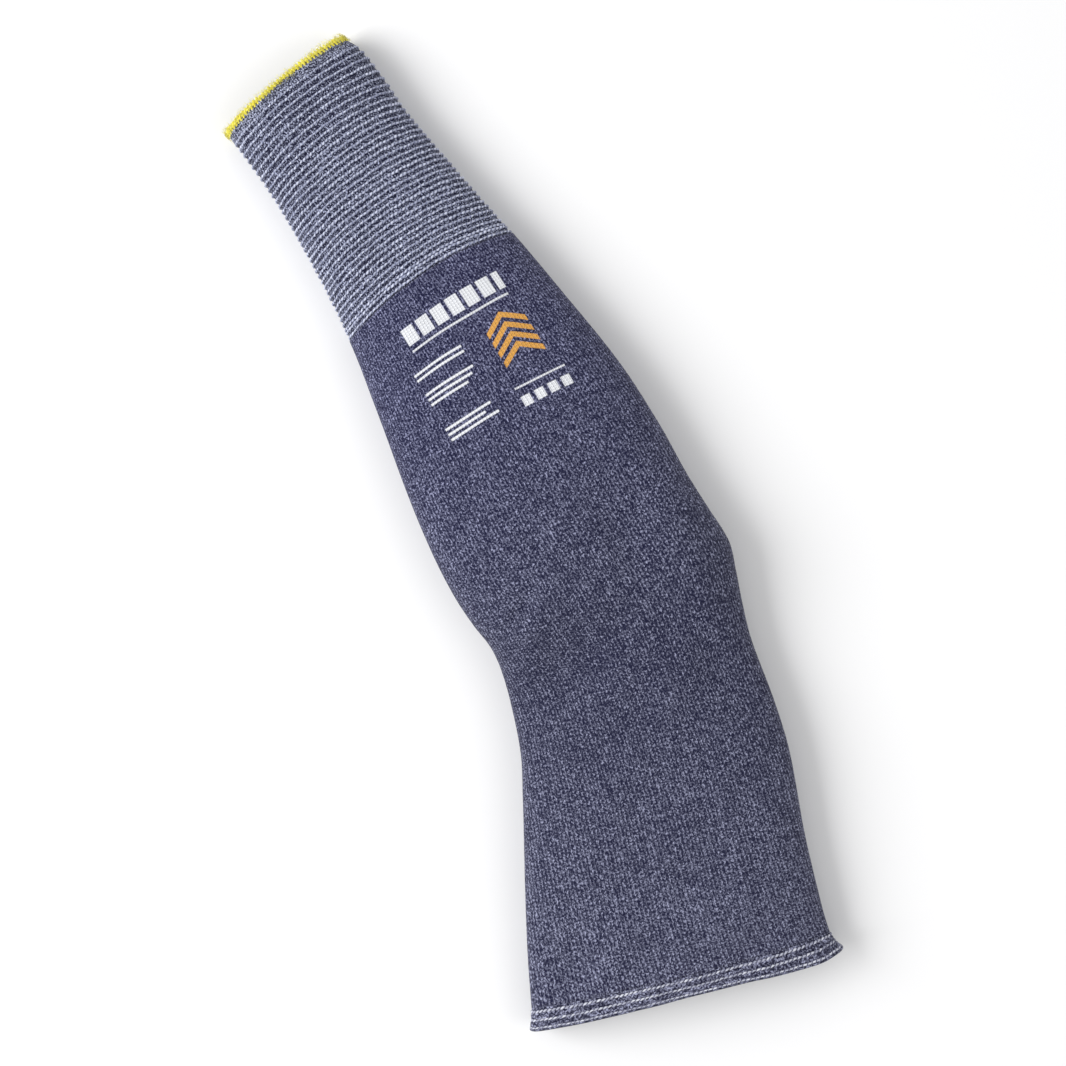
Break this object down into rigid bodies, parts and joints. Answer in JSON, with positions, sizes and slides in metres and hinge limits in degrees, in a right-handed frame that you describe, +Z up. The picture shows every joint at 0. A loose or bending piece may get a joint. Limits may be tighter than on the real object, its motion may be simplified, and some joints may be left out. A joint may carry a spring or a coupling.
{
  "type": "cut resistant sleeve",
  "caption": "Knitted cut resistant arm sleeve lying flat, open at both ends, with a corrugated wrist cuff, a slight elbow bend and a folded upper hem.",
  "frame": {"origin": "middle of the sleeve's outline, on the surface that it lies on", "axes": "+Y along the sleeve towards the wrist, +X towards the outer elbow, +Z up from the surface that it lies on"},
  "size_m": [0.1506, 0.4108, 0.0335],
  "materials": {
    "edge_yarn": "bright yellow overlocked stretch yarn, dull",
    "cuff_knit": "light grey and navy heathered knit in raised rows, dull",
    "body_knit": "fine navy and grey heathered knit, dull",
    "hem_knit": "fine navy and grey heathered knit, folded, with pale stitch rows, dull"
  },
  "bodies": {
    "root": {"wrist_edge": "edge_yarn", "ribbed_cuff": "cuff_knit", "sleeve_body": "body_knit", "hem_band": "hem_knit"}
  },
  "joints": []
}
